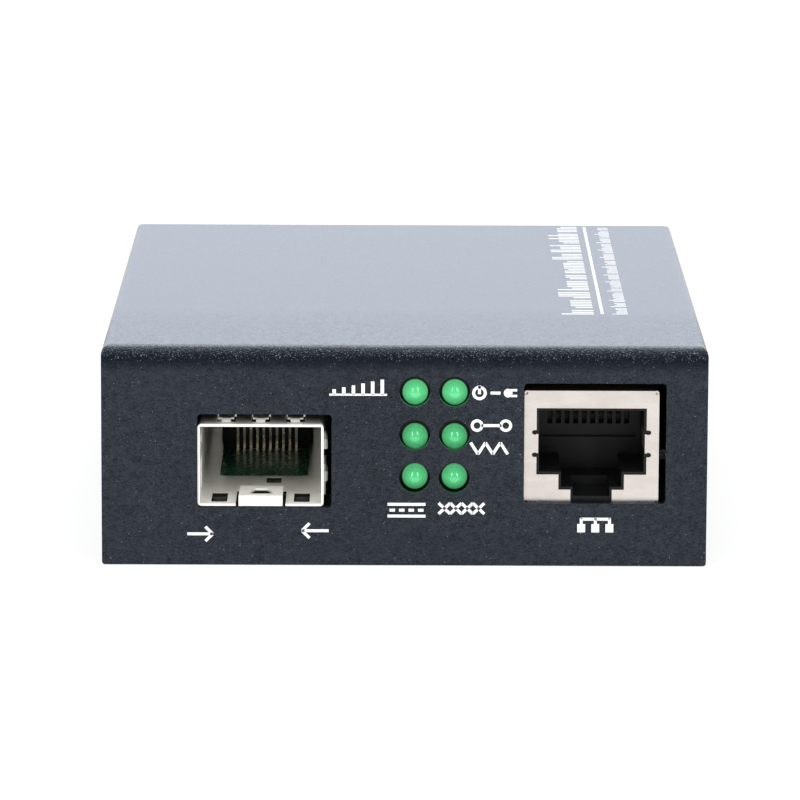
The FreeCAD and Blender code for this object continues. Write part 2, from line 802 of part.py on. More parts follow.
def dc_jack_pin():
    face = rear - sheet
    back = face - inlet_length
    y = inlet_terminals()[0][1]
    profile = ((back, inlet_pin), (face - 1.3, inlet_pin), (face - 0.9, inlet_pin - 0.4))
    pin = faceted_stack("xz", profile, inlet_x, inlet_z, 18)
    terminal = standing_block(inlet_x, y, 2.0, 0.4, pin_end, inlet_z)
    return fused([pin, terminal])


# Leaf that presses on the plug's barrel from below, in one piece with its terminal.
def dc_jack_spring():
    face = rear - sheet
    y = inlet_terminals()[1][1]
    floor = inlet_z - inlet_bore - 0.5
    path = [(y, pin_end), (y, floor), (face - 4.5, floor + 1.0), (face - 1.6, floor)]
    return folded_strip(path, 2.0, 0.3, inlet_x)


def dc_jack_switch_contact():
    x, y = inlet_terminals()[2]
    return standing_block(x, y, 0.3, 2.0, pin_end, inlet_z - 0.2)


# --- parts on the board ---


def chip_body(x, y, size_x, size_y, low, high):
    body = standing_block(x, y, size_x, size_y, board_top + low, board_top + high)
    return body.makeChamfer(0.25, [edge for edge in body.Edges if edge.BoundBox.ZMin > board_top + high - 0.01])


# Leads along the two long sides, or along all four, of a body with its middle at x, y.
def chip_leads(x, y, half, count, pitch, width, sides):
    lead = gull_lead(0.35, 0.95, 1.0, width, 0.15)
    leads = []
    for degrees in sides:
        for i in range(count):
            placed = moved(lead, (i - (count - 1) / 2) * pitch, -half, board_top + 0.95)
            placed.rotate(FreeCAD.Vector(0, 0, 0), FreeCAD.Vector(0, 0, 1), degrees)
            leads.append(moved(placed, x, y, 0))
    return leads


def converter_chip():
    x, y = converter_xy
    body = chip_body(x, y, converter_body, converter_body, 0.1, 1.9)
    return body.cut(faceted("xy", 0.6, x - 5.4, y - 5.4, board_top + 1.8, board_top + 3))


def converter_chip_leads():
    return chip_leads(*converter_xy, converter_body / 2, 8, 1.45, 0.5, (0, 90, 180, 270))


def lan_transformer():
    return chip_body(*transformer_xy, 15.2, 9.6, 0.1, 5.8)


def lan_transformer_leads():
    return chip_leads(*transformer_xy, 4.8, 8, 1.78, 0.6, (0, 180))


def memory_chip():
    return chip_body(*memory_xy, 5.0, 4.0, 0.1, 1.6)


def memory_chip_leads():
    return chip_leads(*memory_xy, 2.0, 4, 1.27, 0.42, (0, 180))


def regulator_chip():
    return chip_body(*regulator_xy, 5.0, 4.0, 0.1, 1.6)


def regulator_chip_leads():
    return chip_leads(*regulator_xy, 2.0, 4, 1.27, 0.42, (0, 180))


# Crystal in its pressed can, with a round-ended outline and a brim at the foot.
def crystal_can():
    x, y = crystal_xy
    solids = []
    for half_length, radius, low, high in ((5.5, 2.35, 0, 0.5), (5.0, 1.85, 0.5, 3.6)):
        arc = [math.radians(36 * i - 90) for i in range(6)]
        right = [(x + half_length - radius + radius * math.cos(a), y + radius * math.sin(a), 0) for a in arc]
        left = [(2 * x - u, 2 * y - v, 0) for u, v, _ in right]
        solids.append(extruded(right + left, "xy", board_top + low, board_top + high))
    return fused(solids)


def crystal_leads():
    x, y = crystal_xy
    return [standing_block(x + side * 2.44, y, 0.45, 0.45, pin_end, board_top) for side in (-1, 1)]


def inductor_core():
    x, y = inductor_xy
    foot = faceted("xy", 3.6, x, y, board_top, board_top + 0.8, 8)
    neck = faceted("xy", 1.6, x, y, board_top + 0.8, board_top + 3.4)
    cap = faceted("xy", 3.2, x, y, board_top + 3.4, board_top + 4.2, 18)
    return fused([foot, neck, cap])


def inductor_coil():
    x, y = inductor_xy
    ring = faceted("xy", 2.8, x, y, board_top + 0.8, board_top + 3.4, 18)
    return ring.cut(faceted("xy", 1.6, x, y, board_top, board_top + 4))


def capacitor_bases():
    bases = []
    for x, y in capacitors_xy:
        base = standing_block(x, y, 6.6, 6.6, board_top, board_top + 0.9)
        clipped = [edge for edge in base.Edges if edge.BoundBox.ZLength > 0.5 and edge.BoundBox.YMin > y]
        bases.append(base.makeChamfer(1.3, clipped))
    return bases


# Aluminium cans, each rolled in a little above its base.
def capacitor_cans():
    z = board_top + 0.9
    profile = [(z, 3.1), (z + 0.7, 3.1), (z + 1.0, 2.85), (z + 1.3, 3.1), (z + 6.8, 3.1)]
    return [faceted_stack("xy", profile, x, y, 14) for x, y in capacitors_xy]


def input_diode():
    return chip_body(*diode_xy, 2.7, 4.4, 0.1, 2.2)


def input_diode_leads():
    x, y = diode_xy
    leads = []
    for side in (-1, 1):
        ends = sorted((y + side * 1.9, y + side * 2.6))
        leads.append(block(x - 0.8, x + 0.8, ends[0], ends[1], board_top, board_top + 0.1))
    return leads


# Ceramic blocks in rows beside the parts they serve, as x, y of the first, step and count.
def chip_row(rows, size_x, size_y, height):
    parts = []
    for x, y, step_x, step_y, count in rows:
        for i in range(count):
            top = board_top + height
            parts.append(standing_block(x + i * step_x, y + i * step_y, size_x, size_y, board_top, top))
    return parts


def chip_capacitors():
    rows = ((-6.5, 4.0, 0, 5.3, 3), (13.5, 4.0, 0, 5.3, 3), (12.0, -22.0, 4.0, 0, 4), (-12.0, 19.0, 3.0, 0, 3))
    return chip_row(rows, 1.25, 2.0, 0.9)


def chip_resistors():
    rows = ((-0.6, -29.0, 1.9, 0, 6), (10.5, 23.5, 3.4, 0, 4), (-22.5, 20.0, 0, 3.0, 2))
    return chip_row(rows, 0.8, 1.6, 0.45)


def export(name, shapes):
    parts = shapes if isinstance(shapes, list) else [shapes]
    solids = [solid for shape in parts for solid in shape.Solids]
    shape = solids[0] if len(solids) == 1 else Part.makeCompound(solids)
    shape.exportStep("parts/" + name + ".step")


os.makedirs("parts", exist_ok=True)
builders = (
    upper_shell,
    base_plate,
    shell_screws,
    circuit_board,
    board_standoffs,
    board_screws,
    sfp_cage,
    sfp_connector_housing,
    sfp_lower_contacts,
    sfp_upper_contacts,
    rj45_shield,
    rj45_housing,
    rj45_contact_insert,
    rj45_contacts,
    led_holder,
    led_leads,
    dc_jack_housing,
    dc_jack_pin,
    dc_jack_spring,
    dc_jack_switch_contact,
    converter_chip,
    converter_chip_leads,
    lan_transformer,
    lan_transformer_leads,
    memory_chip,
    memory_chip_leads,
    regulator_chip,
    regulator_chip_leads,
    crystal_can,
    crystal_leads,
    inductor_core,
    inductor_coil,
    capacitor_bases,
    capacitor_cans,
    input_diode,
    input_diode_leads,
    chip_capacitors,
    chip_resistors,
)
for builder in builders:
    export(builder.__name__, builder())
for column, x in enumerate(led_columns):
    for row, z in enumerate(led_rows):
        export("led_lens_" + str(3 * column + row + 1), led_lens(x, z))
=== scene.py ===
import math

import bmesh
import bpy
from mathutils import Matrix, Vector


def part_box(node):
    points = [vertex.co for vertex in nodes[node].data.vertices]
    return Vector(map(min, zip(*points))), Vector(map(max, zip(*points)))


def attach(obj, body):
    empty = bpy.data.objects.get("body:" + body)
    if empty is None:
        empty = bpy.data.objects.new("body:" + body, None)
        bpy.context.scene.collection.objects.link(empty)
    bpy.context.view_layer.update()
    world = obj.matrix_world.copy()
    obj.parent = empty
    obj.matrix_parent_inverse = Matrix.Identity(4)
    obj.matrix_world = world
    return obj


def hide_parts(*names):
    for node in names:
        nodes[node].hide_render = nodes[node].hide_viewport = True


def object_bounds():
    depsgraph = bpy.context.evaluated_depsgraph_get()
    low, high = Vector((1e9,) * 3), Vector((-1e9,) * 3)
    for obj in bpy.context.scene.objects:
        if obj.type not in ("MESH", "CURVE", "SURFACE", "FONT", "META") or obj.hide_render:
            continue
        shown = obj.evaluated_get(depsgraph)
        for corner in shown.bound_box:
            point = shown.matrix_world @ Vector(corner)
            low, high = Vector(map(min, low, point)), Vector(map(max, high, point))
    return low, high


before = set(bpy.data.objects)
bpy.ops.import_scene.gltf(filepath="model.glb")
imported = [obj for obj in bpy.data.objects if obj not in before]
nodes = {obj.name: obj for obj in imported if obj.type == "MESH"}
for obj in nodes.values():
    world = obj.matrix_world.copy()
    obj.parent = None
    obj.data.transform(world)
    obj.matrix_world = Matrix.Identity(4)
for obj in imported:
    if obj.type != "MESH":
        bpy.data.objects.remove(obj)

cadLow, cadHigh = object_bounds()
mm = 0.001
print("frame loaded:", len(nodes), "nodes")


cameraSettings = {
    "place": (-1.567 * mm, -688.04 * mm, 141.036 * mm),
    "yaw": 0.092,
    "pitchDown": 10.711,
    "roll": 0.226,
    "lens": 251.1,
    "sensor": 36,
    "clip": (0.05, 20),
}


def makeCamera(s):
    data = bpy.data.cameras.new("camera")
    data.lens, data.sensor_width = s["lens"], s["sensor"]
    data.clip_start, data.clip_end = s["clip"]
    camera = bpy.data.objects.new("camera", data)
    bpy.context.scene.collection.objects.link(camera)
    turn = Matrix.Rotation(math.radians(-s["yaw"]), 4, "Z")
    turn = turn @ Matrix.Rotation(math.radians(90 - s["pitchDown"]), 4, "X")
    turn = turn @ Matrix.Rotation(math.radians(s["roll"]), 4, "Z")
    camera.matrix_world = Matrix.Translation(s["place"]) @ turn
    bpy.context.scene.camera = camera


makeCamera(cameraSettings)
bpy.context.scene.view_settings.view_transform = "Standard"


class Signal:  # a socket that can stand in a sum
    def __init__(self, finish, socket):
        self.finish, self.socket = finish, socket

    def math(self, operation, *others):
        return self.finish.add("ShaderNodeMath", {"operation": operation}, dict(enumerate((self,) + others)))

    def __add__(self, other):
        return self.math("ADD", other)

    def __sub__(self, other):
        return self.math("SUBTRACT", other)

    def __rsub__(self, other):
        return self.finish.add("ShaderNodeMath", {"operation": "SUBTRACT"}, {0: other, 1: self})

    def __mul__(self, other):
        return self.math("MULTIPLY", other)

    def __truediv__(self, other):
        return self.math("DIVIDE", other)

    def __gt__(self, other):
        return self.math("GREATER_THAN", other)

    def __lt__(self, other):
        return self.math("LESS_THAN", other)

    __radd__, __rmul__ = __add__, __mul__

    def step(self, start, end):  # 0 below start, 1 above end, smooth between
        return self.finish.add(
            "ShaderNodeMapRange",
            {"interpolation_type": "SMOOTHSTEP"},
            {"Value": self, "From Min": start, "From Max": end},
        )


class Finish:  # one material's nodes, added by kind
    def __init__(self, name, tree=None):
        if tree is None:
            self.material = bpy.data.materials.new(name)
            self.material.use_nodes = True
            tree = self.material.node_tree
        self.tree = tree
        tree.nodes.clear()

    def add(self, kind, settings=None, inputs=None, output=0):
        node = self.tree.nodes.new(kind)
        for name, value in (settings or {}).items():
            setattr(node, name, value)
        for name, value in (inputs or {}).items():
            if isinstance(value, Signal):
                self.tree.links.new(value.socket, node.inputs[name])
            else:
                node.inputs[name].default_value = value
        return Signal(self, node.outputs[output]) if node.outputs else None

    def place(self, centre=(0, 0, 0)):  # object coordinates, measured from a centre
        point = self.add("ShaderNodeTexCoord", output="Object")
        if tuple(centre) == (0, 0, 0):
            return point
        return self.add("ShaderNodeMapping", inputs={"Vector": point, "Location": [-c for c in centre]})

    def axes(self, point):
        split = self.add("ShaderNodeSeparateXYZ", inputs={"Vector": point}).socket.node
        return [Signal(self, split.outputs[i]) for i in range(3)]

    def stretch(self, point, scale):
        return self.add("ShaderNodeMapping", inputs={"Vector": point, "Scale": scale})

    def noise(self, point, size, detail=2.0, rough=0.5):
        values = {"Vector": point, "Scale": 1 / size, "Detail": detail, "Roughness": rough}
        return self.add("ShaderNodeTexNoise", inputs=values)

    def cells(self, point, size, feature="F1", output="Distance", spread=1.0, metric="EUCLIDEAN"):
        return self.add(
            "ShaderNodeTexVoronoi",
            {"feature": feature, "distance": metric},
            {"Vector": point, "Scale": 1 / size, "Randomness": spread},
            output,
        )

    def mix(self, factor, first, second):
        return self.add("ShaderNodeMix", {"data_type": "RGBA"}, {0: factor, 6: first, 7: second}, 2)

    def bump(self, height, depth):
        return self.add("ShaderNodeBump", inputs={"Height": height, "Distance": depth, "Strength": 1.0})

    def surface(self, **values):  # baseColor stands for the input Base Color
        named = {}
        for key, value in values.items():
            words = "".join(" " + c if c.isupper() else c for c in key)
            named[(words[0].upper() + words[1:]).replace("I O R", "IOR")] = value
        return self.add("ShaderNodeBsdfPrincipled", inputs=named)

    def done(self, shader):
        self.add("ShaderNodeOutputMaterial", inputs={"Surface": shader})
        return self.material


def grey(value):
    return (value, value, value, 1)


# textured powder coat, with a painted shade band and painted glints at the front bend; the bands are
# measured down from the top face
paint = {
    "colour": (0.0010, 0.0018, 0.0040, 1),
    "colourHigh": (0.0075, 0.0102, 0.0165, 1),
    "toneRange": (0.40, 0.62),
    "drawn": (0.55, 1, 1),
    "grain": 0.15 * mm,
    "mottleSize": 0.39 * mm,
    "broadSize": 9 * mm,
    "front": (-44 * mm, -16 * mm),  # the grain fades between these
    "relief": 0.3 * mm,
    "reliefBack": 0.06,  # what share of it is left behind the front
    "reliefLost": 0.5,  # what share of it the top face loses
    "roughness": (0.18, 0.2),  # least, and how much the grain adds
    "gloss": 0.34,
    "glossTint": (0.52, 0.70, 1.0, 1),
    "coatIOR": 1.4,
    "coatRoughness": 0.2,
    "coatRange": (0.25, 0.75),
    "coatGrain": 0.9,
    "coatBack": 0.5,
    "coatAhead": 0.35,  # how much less plain coat there is at the front
    # painted shade below the front bend: darker colour and less coat in this band
    "dullBand": (3.2 * mm, 1.7 * mm, 0.5 * mm, 0.1 * mm),
    "paintedShadeColour": 0.8,
    "dullCoat": 0.9,
    "fleck": (0.46, 0.47, 0.52, 1),
    "fleckSize": 0.085 * mm,
    "fleckWidth": 0.4,
    "fleckFrom": 0.994,  # cells above this carry one
    "paintedGlintMore": 0.17,  # how much sooner they do on the bend, where they are painted glints
    "paintedGlintBand": (1.9 * mm, 0.9 * mm, 0.1 * mm, 0.02 * mm),
}


def makePaint(s):
    finish = Finish("casePaint")
    point = finish.place()
    _, y, z = finish.axes(point)

    def band(low, lowFull, highFull, high):
        top = cadHigh.z
        return z.step(top - low, top - lowFull) * (1 - z.step(top - highFull, top - high))

    ahead = 1 - y.step(*s["front"])
    bend = band(*s["paintedGlintBand"])
    paintedShade = band(*s["dullBand"]) * ahead
    flat = z.step(*(cadHigh.z - depth for depth in s["paintedGlintBand"][2:]))

    drawn = finish.stretch(point, s["drawn"])
    sand = finish.cells(drawn, s["grain"], "SMOOTH_F1")
    fine = finish.noise(drawn, s["grain"], 2.0, 0.7)
    mottle = finish.noise(drawn, s["mottleSize"])
    broad = finish.noise(point, s["broadSize"])
    blend = (fine * 0.5 + mottle * 0.3 + broad * 0.2).step(*s["toneRange"])
    tone = finish.mix(blend, s["colour"], s["colourHigh"])
    # painted shade: the band below the front bend is darkened towards black
    tone = finish.mix(paintedShade * s["paintedShadeColour"], tone, grey(0.0))
    cell = finish.axes(finish.cells(point, s["fleckSize"], output="Color"))[0]
    near = finish.cells(point, s["fleckSize"]) < s["fleckWidth"]
    # pale specks in the colour; the extra ones on the bend are painted glints
    fleck = cell.step(s["fleckFrom"] - bend * s["paintedGlintMore"], 1.0) * near

    height = (sand * 0.7 + fine * 0.5 + mottle * 0.2) * (ahead * (1 - s["reliefBack"]) + s["reliefBack"])
    height = height * (1 - flat * s["reliefLost"])
    coat = (fine * 0.7 + mottle * 0.3).step(*s["coatRange"]) * ahead * s["coatGrain"]
    coat = (coat + (s["coatBack"] - ahead * s["coatAhead"])) * (1 - paintedShade * s["dullCoat"])
    return finish.done(
        finish.surface(
            baseColor=finish.mix(fleck, tone, s["fleck"]),
            roughness=fine * s["roughness"][1] + s["roughness"][0],
            specularIORLevel=s["gloss"],
            specularTint=s["glossTint"],
            coatWeight=coat,
            coatRoughness=s["coatRoughness"],
            coatIOR=s["coatIOR"],
            normal=finish.bump(height, s["relief"]),
        )
    )


tinPlate = {
    "colour": (0.93, 0.915, 0.87, 1),
    "shade": (0.84, 0.83, 0.78, 1),
    "roughness": 0.22,
    "metallic": 0.6,
    "mouth": (-22 * mm, -42 * mm),  # less metallic towards it, so the metal shows paler there: painted light at the cage mouth
    "metallicPaintedLight": 0.05,
    "under": (7.24 * mm, 7.18 * mm),  # painted shade below the cage floor
    "rim": (-46.7 * mm, -46.5 * mm),  # where that painted shade begins
    "dark": grey(0.02),
}
shieldPlate = {"colour": (0.78, 0.72, 0.675, 1), "shade": (0.71, 0.65, 0.605, 1), "roughness": 0.3}
screwSteel = {"colour": (0.55, 0.55, 0.56, 1), "shade": (0.36, 0.36, 0.38, 1), "roughness": 0.3}
brassPost = {"colour": (0.66, 0.55, 0.34, 1), "shade": (0.5, 0.4, 0.22, 1), "roughness": 0.32}
contactGold = {"colour": (0.88, 0.83, 0.70, 1), "shade": (0.72, 0.64, 0.48, 1), "roughness": 0.24}
tinnedLead = {"colour": (0.74, 0.73, 0.71, 1), "shade": (0.55, 0.54, 0.52, 1), "roughness": 0.34}
canMetal = {"colour": (0.74, 0.74, 0.75, 1), "shade": (0.6, 0.6, 0.61, 1), "roughness": 0.27}
copperWire = {"colour": (0.72, 0.33, 0.16, 1), "shade": (0.5, 0.2, 0.09, 1), "roughness": 0.3}


metalWear = {
    "drawn": 0.9 * mm,
    "cloud": 3.2 * mm,
    "speck": 0.22 * mm,
    "toneRange": (0.35, 0.68),
    "depth": 0.004 * mm,
}


def makeMetal(name, s, grain, wear=metalWear):
    finish = Finish(name)
    point = finish.place()
    drawn = finish.noise(finish.stretch(point, grain), wear["drawn"], 4.0, 0.6)
    cloud = finish.noise(point, wear["cloud"], 3.0, 0.55)
    speck = finish.noise(point, wear["speck"])
    tone = finish.mix((cloud * 0.6 + drawn * 0.4).step(*wear["toneRange"]), s["colour"], s["shade"])
    metallic = s.get("metallic", 1.0)
    if "mouth" in s:
        _, y, z = finish.axes(point)
        # painted light: the tin plate is made less metallic, so paler, towards the cage mouth
        metallic = metallic - y.step(*s["mouth"]) * (metallic - s["metallicPaintedLight"])
        # painted shade: the metal below the cage floor, behind its front edge, is darkened so the floor
        # windows read as dark openings
        tone = finish.mix(z.step(*s["under"]) * y.step(*s["rim"]), tone, s["dark"])
    return finish.done(
        finish.surface(
            baseColor=tone,
            metallic=metallic,
            roughness=drawn * 0.2 + speck * 0.1 + (s["roughness"] - 0.15),
            normal=finish.bump(drawn + speck * 0.4, wear["depth"]),
        )
    )


blackPlastic = {
    "colour": (0.0035, 0.0037, 0.0045, 1), "worn": (0.009, 0.0095, 0.011, 1),
    "roughness": 0.4, "gloss": 0.3,
}
chipBlack = {
    "colour": (0.018, 0.018, 0.019, 1), "worn": (0.04, 0.04, 0.041, 1),
    "roughness": 0.55, "gloss": 0.5,
}
ferrite = {
    "colour": (0.03, 0.031, 0.034, 1), "worn": (0.07, 0.07, 0.075, 1),
    "roughness": 0.6, "gloss": 0.5,
}
ceramicTan = {
    "colour": (0.42, 0.32, 0.22, 1), "worn": (0.3, 0.22, 0.14, 1),
    "roughness": 0.45, "gloss": 0.5,
}


mouldWear = {"cloud": 2.6 * mm, "toneRange": (0.45, 0.75)}


def makeMoulded(name, s, grain=0.16 * mm, depth=0.006 * mm):
    finish = Finish(name)
    point = finish.place()
    fine = finish.noise(point, grain, 3.0, 0.6)
    cloud = finish.noise(point, mouldWear["cloud"], 3.0)
    blend = (fine * 0.5 + cloud * 0.5).step(*mouldWear["toneRange"])
    return finish.done(
        finish.surface(
            baseColor=finish.mix(blend, s["colour"], s["worn"]),
            roughness=cloud * 0.2 + fine * 0.1 + (s["roughness"] - 0.15),
            specularIORLevel=s["gloss"],
            normal=finish.bump(fine, depth),
        )
    )


solderMask = {
    "mask": (0.006, 0.085, 0.040, 1),
    "track": (0.014, 0.15, 0.070, 1),
    "pad": (0.62, 0.62, 0.58, 1),
    "core": (0.035, 0.045, 0.018, 1),
    "trackPitch": 0.62 * mm,
    "field": 6.5 * mm,
    "trackRange": (0.1, 0.45),
    "viaPitch": 2.4 * mm,
    "ringRange": (0.17, 0.15),
    "holeRange": (0.08, 0.06),
    "hole": grey(0.01),
    "skin": 0.05 * mm,  # how deep the two faces reach
    "weave": 0.4 * mm,
    "relief": 0.03 * mm,
}


def makeBoard(s):
    finish = Finish("solderMask")
    point = finish.place()
    x, y, z = finish.axes(point)
    field = finish.axes(finish.cells(point, s["field"], output="Color", metric="CHEBYCHEV"))
    across = (field[0] > 0.5) * x + (field[0] < 0.5) * y
    wave = (across * (2 * math.pi / s["trackPitch"])).math("SINE")
    track = wave.step(*s["trackRange"]) * (field[1] > 0.35)
    via = finish.cells(point, s["viaPitch"], spread=0.8)
    ring = via.step(*s["ringRange"])
    hole = via.step(*s["holeRange"])
    low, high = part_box("circuit_board")
    over, under = ((z - level).math("ABSOLUTE") < s["skin"] for level in (high.z, low.z))
    face = over.math("MAXIMUM", under)
    tone = finish.mix(track, s["mask"], s["track"])
    tone = finish.mix(ring, tone, s["pad"])
    # painted shade: the via holes are drawn near-black in the colour
    tone = finish.mix(hole, tone, s["hole"])
    tone = finish.mix(face, s["core"], tone)
    weave = finish.noise(point, s["weave"], 3.0)
    return finish.done(
        finish.surface(
            baseColor=tone,
            metallic=ring * (1 - hole) * face,
            roughness=weave * 0.18 + 0.16 + (1 - face) * 0.4,
            normal=finish.bump((track * 0.6 + ring) * face + weave * 0.2, s["relief"]),
        )
    )


# green LED lenses, with painted light: a painted glow, painted shade towards the body and the lower part,
# and a painted highlight ring at the edge
lens = {
    "deep": (0.006, 0.10, 0.03, 1),
    "bright": (0.02, 0.27, 0.09, 1),
    "rim": (0.12, 0.72, 0.26, 1),
    "glow": (0.13, 0.60, 0.25, 1),
    "glowDeep": (0.0, 0.035, 0.008, 1),
    "roughness": 0.05,
    "coatRoughness": 0.04,
    "domeRange": (1.7, 1.1),  # in radii back from the tip; the painted shade deepens towards the body
    "rimRange": (0.86, 0.97),  # in radii out from the middle; a painted highlight ring at the edge
    "paintedLowShadeRange": (-1.1, 0.1),  # in radii up from the middle; painted shade on the lower part
    "fade": 0.45,
    "haze": 0.5 * mm,
    "relief": 0.004 * mm,
    "power": (0.66, 0.58, 0.82),  # painted glow strength by row, from the bottom
    "radius": 1.5 * mm,
    "flange": 1 * mm,
    "arcSteps": 9,
    "turns": 40,
    "sharp": 40,
    "merge": 0.0005 * mm,
}


def makeLens(name, s, tip, power):
    finish = Finish(name)
    x, y, z = finish.axes(finish.place(tip))
    out = (x * x + z * z).math("SQRT") / s["radius"]
    haze = finish.noise(finish.place(), s["haze"], 3.0)
    dome = (y / s["radius"]).step(*s["domeRange"])
    fade = (z / s["radius"] + (haze - 0.5) * 0.5).step(*s["paintedLowShadeRange"]) * s["fade"] + (1 - s["fade"])
    # painted shade towards the body and the lower part
    tone = finish.mix(dome * fade, s["deep"], s["bright"])
    # painted highlight: a lighter ring at the lens edge
    tone = finish.mix(out.step(*s["rimRange"]) * dome, tone, s["rim"])
    return finish.done(
        finish.surface(
            baseColor=tone,
            roughness=haze * 0.03 + s["roughness"],
            coatWeight=1.0,
            coatRoughness=s["coatRoughness"],
            # painted glow: emission standing in for light on the recessed lens, brighter at the tip
            emissionColor=finish.mix(dome * fade, s["glowDeep"], s["glow"]),
            emissionStrength=power,
            normal=finish.bump(haze, s["relief"]),
        )
    )


def makeLenses(s):  # each turned from one profile: dome, body and flange
    for number in range(1, 7):
        node = "led_lens_%d" % number
        name = "lens_%d" % number
        low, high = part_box(node)
        radius, flange = s["radius"], (high.x - low.x) / 2
        centre = Vector(((low.x + high.x) / 2, low.y + radius, (low.z + high.z) / 2))
        body = high.y - centre.y - s["flange"]
        bm = bmesh.new()
        tip = bmesh.ops.create_vert(bm, co=(0, -radius, 0))["vert"]
        arc = bmesh.ops.spin(bm, geom=tip, axis=(0, 0, 1), angle=math.radians(90), steps=s["arcSteps"])
        end = [v for v in arc["geom_last"] if isinstance(v, bmesh.types.BMVert)]
        for step in ((0, body, 0), (flange - radius, 0, 0), (0, s["flange"], 0), (-flange, 0, 0)):
            end = bmesh.ops.extrude_vert_indiv(bm, verts=end)["verts"]
            bmesh.ops.translate(bm, verts=end, vec=step)
        outline = bm.verts[:] + bm.edges[:]
        bmesh.ops.spin(bm, geom=outline, axis=(0, 1, 0), angle=2 * math.pi, steps=s["turns"], use_merge=True)
        bmesh.ops.remove_doubles(bm, verts=bm.verts, dist=s["merge"])
        bmesh.ops.recalc_face_normals(bm, faces=bm.faces)
        bmesh.ops.translate(bm, verts=bm.verts, vec=centre)
        material = makeLens(name, s, centre - Vector((0, radius, 0)), s["power"][(number - 1) % 3])
        piece = putPiece(name, bm, material)
        piece.data.shade_smooth()
        piece.data.set_sharp_from_angle(angle=math.radians(s["sharp"]))
        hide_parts(node)


def putPiece(name, bm, material):
    mesh = bpy.data.meshes.new(name)
    bm.to_mesh(mesh)
    bm.free()
    mesh.materials.append(material)
    piece = bpy.data.objects.new(name, mesh)
    bpy.context.scene.collection.objects.link(piece)
    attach(piece, "root")
    return piece


finishes = {
    "case_paint": makePaint(paint),
    "screw_steel": makeMetal("screwSteel", screwSteel, (1, 1, 1)),
    "tin_plate": makeMetal("tinPlate", tinPlate, (1, 0.15, 1)),
    "shield_plate": makeMetal("shieldPlate", shieldPlate, (0.2, 1, 1)),
    "contact_gold": makeMetal("contactGold", contactGold, (1, 0.2, 1)),
    "tinned_lead": makeMetal("tinnedLead", tinnedLead, (1, 1, 1)),
    "solder_mask": makeBoard(solderMask),
    "black_plastic": makeMoulded("blackPlastic", blackPlastic),
    "chip_black": makeMoulded("chipBlack", chipBlack, 0.12 * mm, 0.008 * mm),
    "can_metal": makeMetal("canMetal", canMetal, (1, 1, 0.2)),
    "brass_post": makeMetal("brassPost", brassPost, (1, 1, 3)),
    "ferrite": makeMoulded("ferrite", ferrite, 0.2 * mm, 0.01 * mm),
    "copper_wire": makeMetal("copperWire", copperWire, (1, 1, 6)),
    "ceramic_tan": makeMoulded("ceramicTan", ceramicTan),
}
for name, piece in nodes.items():
    slot = piece.data.materials[0].name.split(".")[0]
    if slot in finishes:
        piece.data.materials[0] = finishes[slot]
makeLenses(lens)
print("finishes on", len(nodes), "nodes, lenses turned")


ink = {
    "colour": (0.90, 0.90, 0.91, 1),
    "thin": (0.76, 0.77, 0.79, 1),
    "thinRange": (0.5, 0.8),
    "grain": 0.22 * mm,
    "roughness": 0.5,
    "relief": 0.01 * mm,
    "thick": 0.012 * mm,
}


def makeInk(s):
    finish = Finish("whiteInk")
    point = finish.place()
    fine = finish.noise(point, s["grain"], 3.0, 0.6)
    return finish.done(
        finish.surface(
            baseColor=finish.mix(fine.step(*s["thinRange"]), s["colour"], s["thin"]),
            roughness=fine * 0.2 + s["roughness"] - 0.1,
            normal=finish.bump(fine, s["relief"]),
        )
    )


inkFinish = makeInk(ink)


def bar(bm, x, z, width, height, turn=0.0):  # a flat stroke about its middle
    place = Matrix.Translation((x, z, 0)) @ Matrix.Rotation(turn, 4, "Z")
    bmesh.ops.create_cube(bm, size=1, matrix=place @ Matrix.Diagonal((width, height, 1, 1)))


def disc(bm, x, z, radius, hole=0.0, sides=20):
    place = Matrix.Translation((x, z, 0.5))
    made = bmesh.ops.create_circle(bm, cap_ends=True, segments=sides, radius=radius, matrix=place)
    face = made["verts"][0].link_faces[0]
    if hole:
        bmesh.ops.inset_individual(bm, faces=[face], thickness=radius - hole)
        bmesh.ops.delete(bm, geom=[face], context="FACES_ONLY")
        flat = list({f for v in made["verts"] for f in v.link_faces})
    else:
        flat = [face]
    pushed = bmesh.ops.extrude_face_region(bm, geom=flat)
    down = [e for e in pushed["geom"] if isinstance(e, bmesh.types.BMVert)]
    bmesh.ops.translate(bm, verts=down, vec=(0, 0, -1))


def finishMarks(name, bm, place, thick):
    bmesh.ops.recalc_face_normals(bm, faces=bm.faces)
    bmesh.ops.transform(bm, matrix=place @ Matrix.Diagonal((mm, mm, thick, 1)), verts=bm.verts)
    piece = putPiece(name, bm, inkFinish)


shellLow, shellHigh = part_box("upper_shell")
frontFace = Matrix.Translation((0, shellLow.y, 0)) @ Matrix.Rotation(math.radians(90), 4, "X")
topFace = Matrix.Translation((0, 0, shellHigh.z))

frontMarks = {  # left edge, foot, width and height of each mark, in mm
    "speedMark": (-8.8, 20.4, 6.75, 1.8),
    "powerMark": (7.9, 19.8, 5.25, 1.7),
    "linkMark": (7.75, 15.95, 4.85, 1.65),
    "pulseMark": (7.75, 13.2, 4.35, 1.7),
    "fibreMark": (-1.95, 5.75, 4.45, 1.75),
    "copperMark": (4.05, 6.0, 5.35, 1.7),
    "socketMark": (20.15, 4.0, 4.6, 1.8),
    "sendMark": (-25.45, 2.8, 3.0, 1.8),
    "takeMark": (-12.0, 3.2, 3.15, 1.85),
    "stroke": 0.34,
}


def speedMark(bm, x, z, w, h, t):  # a stepped scale
    for i in range(6):
        tall = h * (0.35 + 0.13 * i)
        bar(bm, x + w * (i + 0.5) / 6, z + tall / 2, t * 1.2, tall)
    bar(bm, x + w / 2, z, w, t * 0.7)


